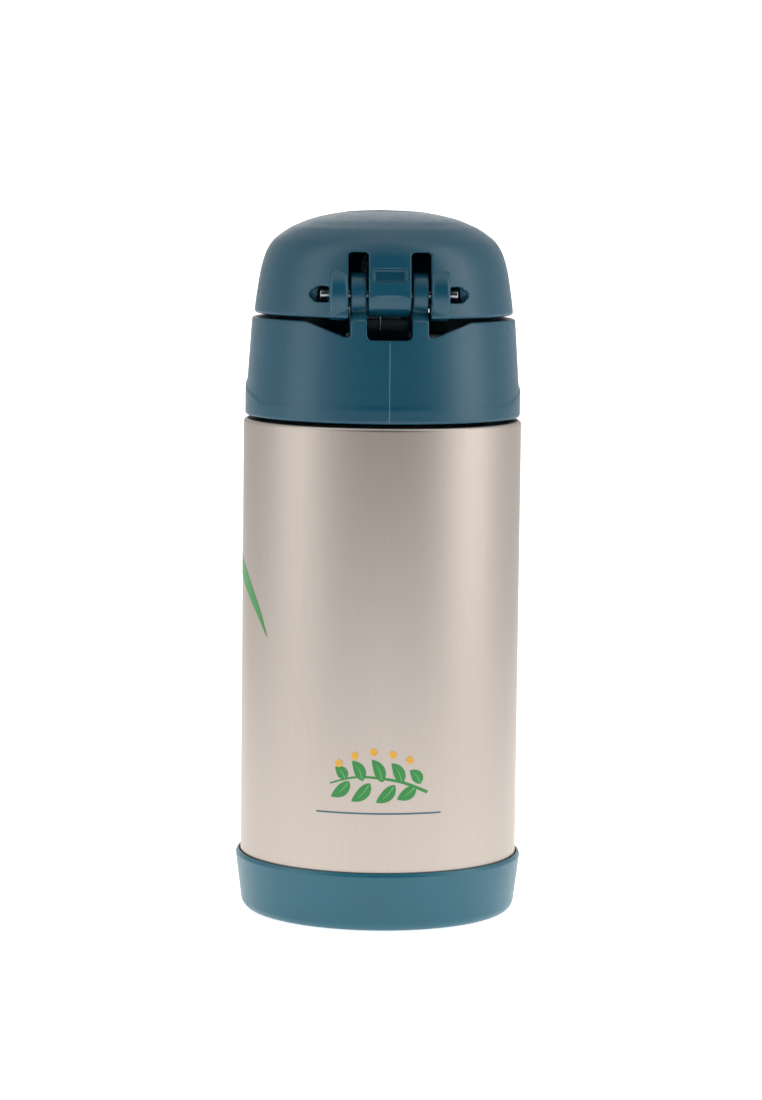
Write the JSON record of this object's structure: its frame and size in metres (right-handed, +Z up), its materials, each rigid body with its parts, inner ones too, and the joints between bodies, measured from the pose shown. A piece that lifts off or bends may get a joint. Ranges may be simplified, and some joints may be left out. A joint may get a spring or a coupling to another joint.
{
  "type": "sippy cup",
  "caption": "Child's insulated steel drinking bottle with a screw-on lid, hinged dome cover, push button, folding silicone spout and straw.",
  "frame": {"origin": "centre of the underside, on the surface the bottle stands on", "axes": "+Z up the bottle, -Y the front, where the push button is, and +Y the back, where the cover's hinge is"},
  "size_m": [0.072, 0.072, 0.1758],
  "materials": {
    "brushed_steel": "fine upright satin brush, clear lacquered",
    "liner_steel": "electropolished",
    "seal_glass": "dark glass solder",
    "getter_metal": "sintered grey",
    "blue_plastic": "slate blue moulded polypropylene, satin",
    "pin_steel": "bright drawn stainless wire",
    "silicone": "milky translucent silicone",
    "straw_plastic": "natural polypropylene"
  },
  "bodies": {
    "bottle": {"outer_shell": "brushed_steel", "liner": "liner_steel", "shell_base": "liner_steel", "vacuum_seal": "seal_glass", "getter": "getter_metal", "boot": "blue_plastic"},
    "lid_seal": {"mouth_gasket": "silicone"},
    "straw": {"straw": "straw_plastic"},
    "lid": {"collar": "blue_plastic", "hinge_spring": "pin_steel", "button_pin": "pin_steel", "button_spring": "pin_steel", "spout_stem": "silicone", "vent_valve": "silicone"},
    "cover": {"cover": "blue_plastic", "hinge_pin": "pin_steel"},
    "button": {"button": "blue_plastic"},
    "spout": {"spout_tip": "silicone"}
  },
  "joints": [
    {"name": "lid_lift_off", "type": "slide", "parent": "bottle", "child": "lid_seal", "axis": [0, 0, 1], "range_m": [0, 0.14]},
    {"name": "lid_rise", "type": "slide", "parent": "lid_seal", "child": "straw", "axis": [0, 0, 1], "range_m": [0, 0.0051]},
    {"name": "lid_turn", "type": "hinge", "parent": "straw", "child": "lid", "pos_m": [0, 0, 0.1248], "axis": [0, 0, 1], "range_deg": [0, 450]},
    {"name": "cover_open", "type": "hinge", "parent": "lid", "child": "cover", "pos_m": [0, 0.025, 0.1559], "axis": [-1, 0, 0], "range_deg": [0, 115], "deforming": ["hinge_spring"]},
    {"name": "button_press", "type": "hinge", "parent": "lid", "child": "button", "pos_m": [0, -0.0297, 0.1298], "axis": [-1, 0, 0], "range_deg": [0, 4.5], "stiffness_Nm_per_rad": 0.1, "springref_deg": -1.15, "deforming": ["button_spring"]},
    {"name": "spout_fold", "type": "hinge", "parent": "lid", "child": "spout", "pos_m": [0, 0, 0.1498], "axis": [-1, 0, 0], "range_deg": [0, 62.1]}
  ],
  "couplings": [
    {"joint": "lid_rise", "follows": "lid_turn", "m_per_rad": 0.00063662},
    {"joint": "spout_fold", "follows": "cover_open", "ratio": 0.5391}
  ]
}
